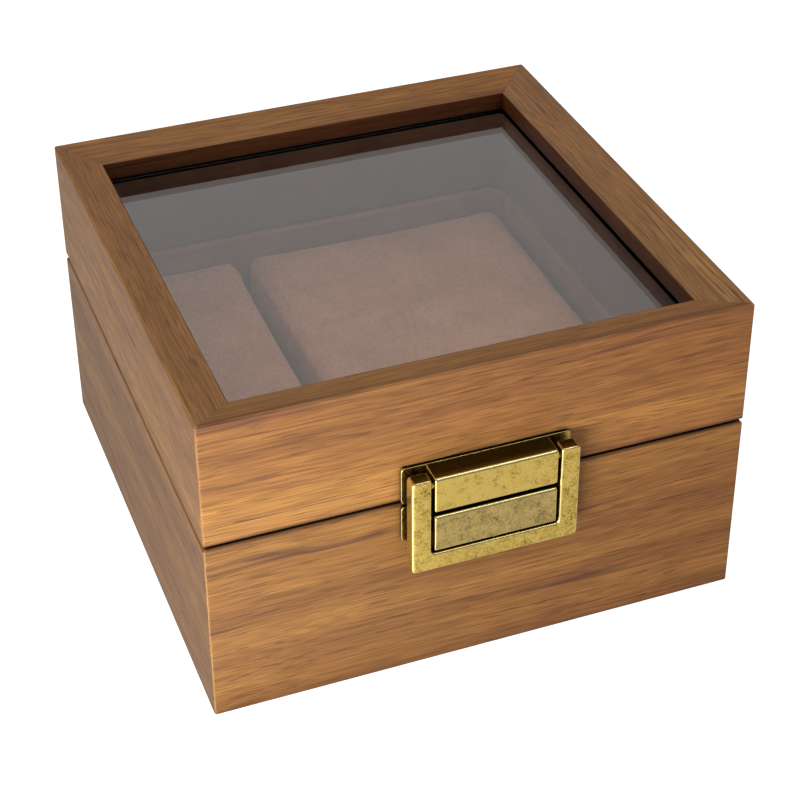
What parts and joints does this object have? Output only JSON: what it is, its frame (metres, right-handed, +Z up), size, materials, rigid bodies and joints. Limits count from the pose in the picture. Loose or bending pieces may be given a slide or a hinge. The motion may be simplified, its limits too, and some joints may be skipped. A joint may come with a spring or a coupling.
{
  "type": "watch box",
  "caption": "Square wood-effect watch box with a hinged glass-topped lid, lift-out suede cushions and a brass box latch with a swinging bail.",
  "frame": {"origin": "middle of the case's footprint, on the surface that it stands on", "axes": "+Z up, front with the latch towards -Y, +X to the right seen from the front"},
  "size_m": [0.13, 0.137, 0.0806],
  "materials": {
    "walnut_foil": "satin",
    "brown_suede": "suede nap",
    "grey_felt": "felt",
    "clear_glass": "polished clear",
    "antique_brass": "antiqued, rubbed bright on the edges",
    "hinge_brass": "satin"
  },
  "bodies": {
    "base": {"base_front_wall": "walnut_foil", "base_back_wall": "walnut_foil", "base_left_wall": "walnut_foil", "base_right_wall": "walnut_foil", "base_bottom_panel": "walnut_foil", "base_felt_pad": "grey_felt", "base_floor_lining": "brown_suede", "base_wall_lining": "brown_suede", "latch_lower_plate": "antique_brass", "latch_lower_block": "antique_brass", "latch_lower_screws": "antique_brass", "left_hinge_base_leaf": "hinge_brass", "left_hinge_pin": "hinge_brass", "left_hinge_base_screws": "hinge_brass", "right_hinge_base_leaf": "hinge_brass", "right_hinge_pin": "hinge_brass", "right_hinge_base_screws": "hinge_brass"},
    "lid": {"lid_front_rail": "walnut_foil", "lid_back_rail": "walnut_foil", "lid_left_rail": "walnut_foil", "lid_right_rail": "walnut_foil", "lid_glass_pane": "clear_glass", "lid_wall_lining": "brown_suede", "latch_upper_plate": "antique_brass", "latch_upper_block": "antique_brass", "latch_upper_screws": "antique_brass", "latch_pivot_pins": "antique_brass", "left_hinge_lid_leaf": "hinge_brass", "left_hinge_lid_screws": "hinge_brass", "right_hinge_lid_leaf": "hinge_brass", "right_hinge_lid_screws": "hinge_brass"},
    "bail": {"latch_bail": "antique_brass"},
    "narrow_cushion": {"narrow_cushion": "brown_suede"},
    "wide_cushion": {"wide_cushion": "brown_suede"}
  },
  "joints": [
    {"name": "lid_hinge", "type": "hinge", "parent": "base", "child": "lid", "pos_m": [0, 0.0632, 0.0484], "axis": [-1, 0, 0], "range_deg": [0, 95]},
    {"name": "bail_pivot", "type": "hinge", "parent": "lid", "child": "bail", "pos_m": [0, -0.0702, 0.0558], "axis": [-1, 0, 0], "range_deg": [0, 170]},
    {"name": "narrow_cushion_lift", "type": "slide", "parent": "base", "child": "narrow_cushion", "axis": [0, 0, 1], "range_m": [0, 0.025]},
    {"name": "wide_cushion_lift", "type": "slide", "parent": "base", "child": "wide_cushion", "axis": [0, 0, 1], "range_m": [0, 0.025]}
  ]
}
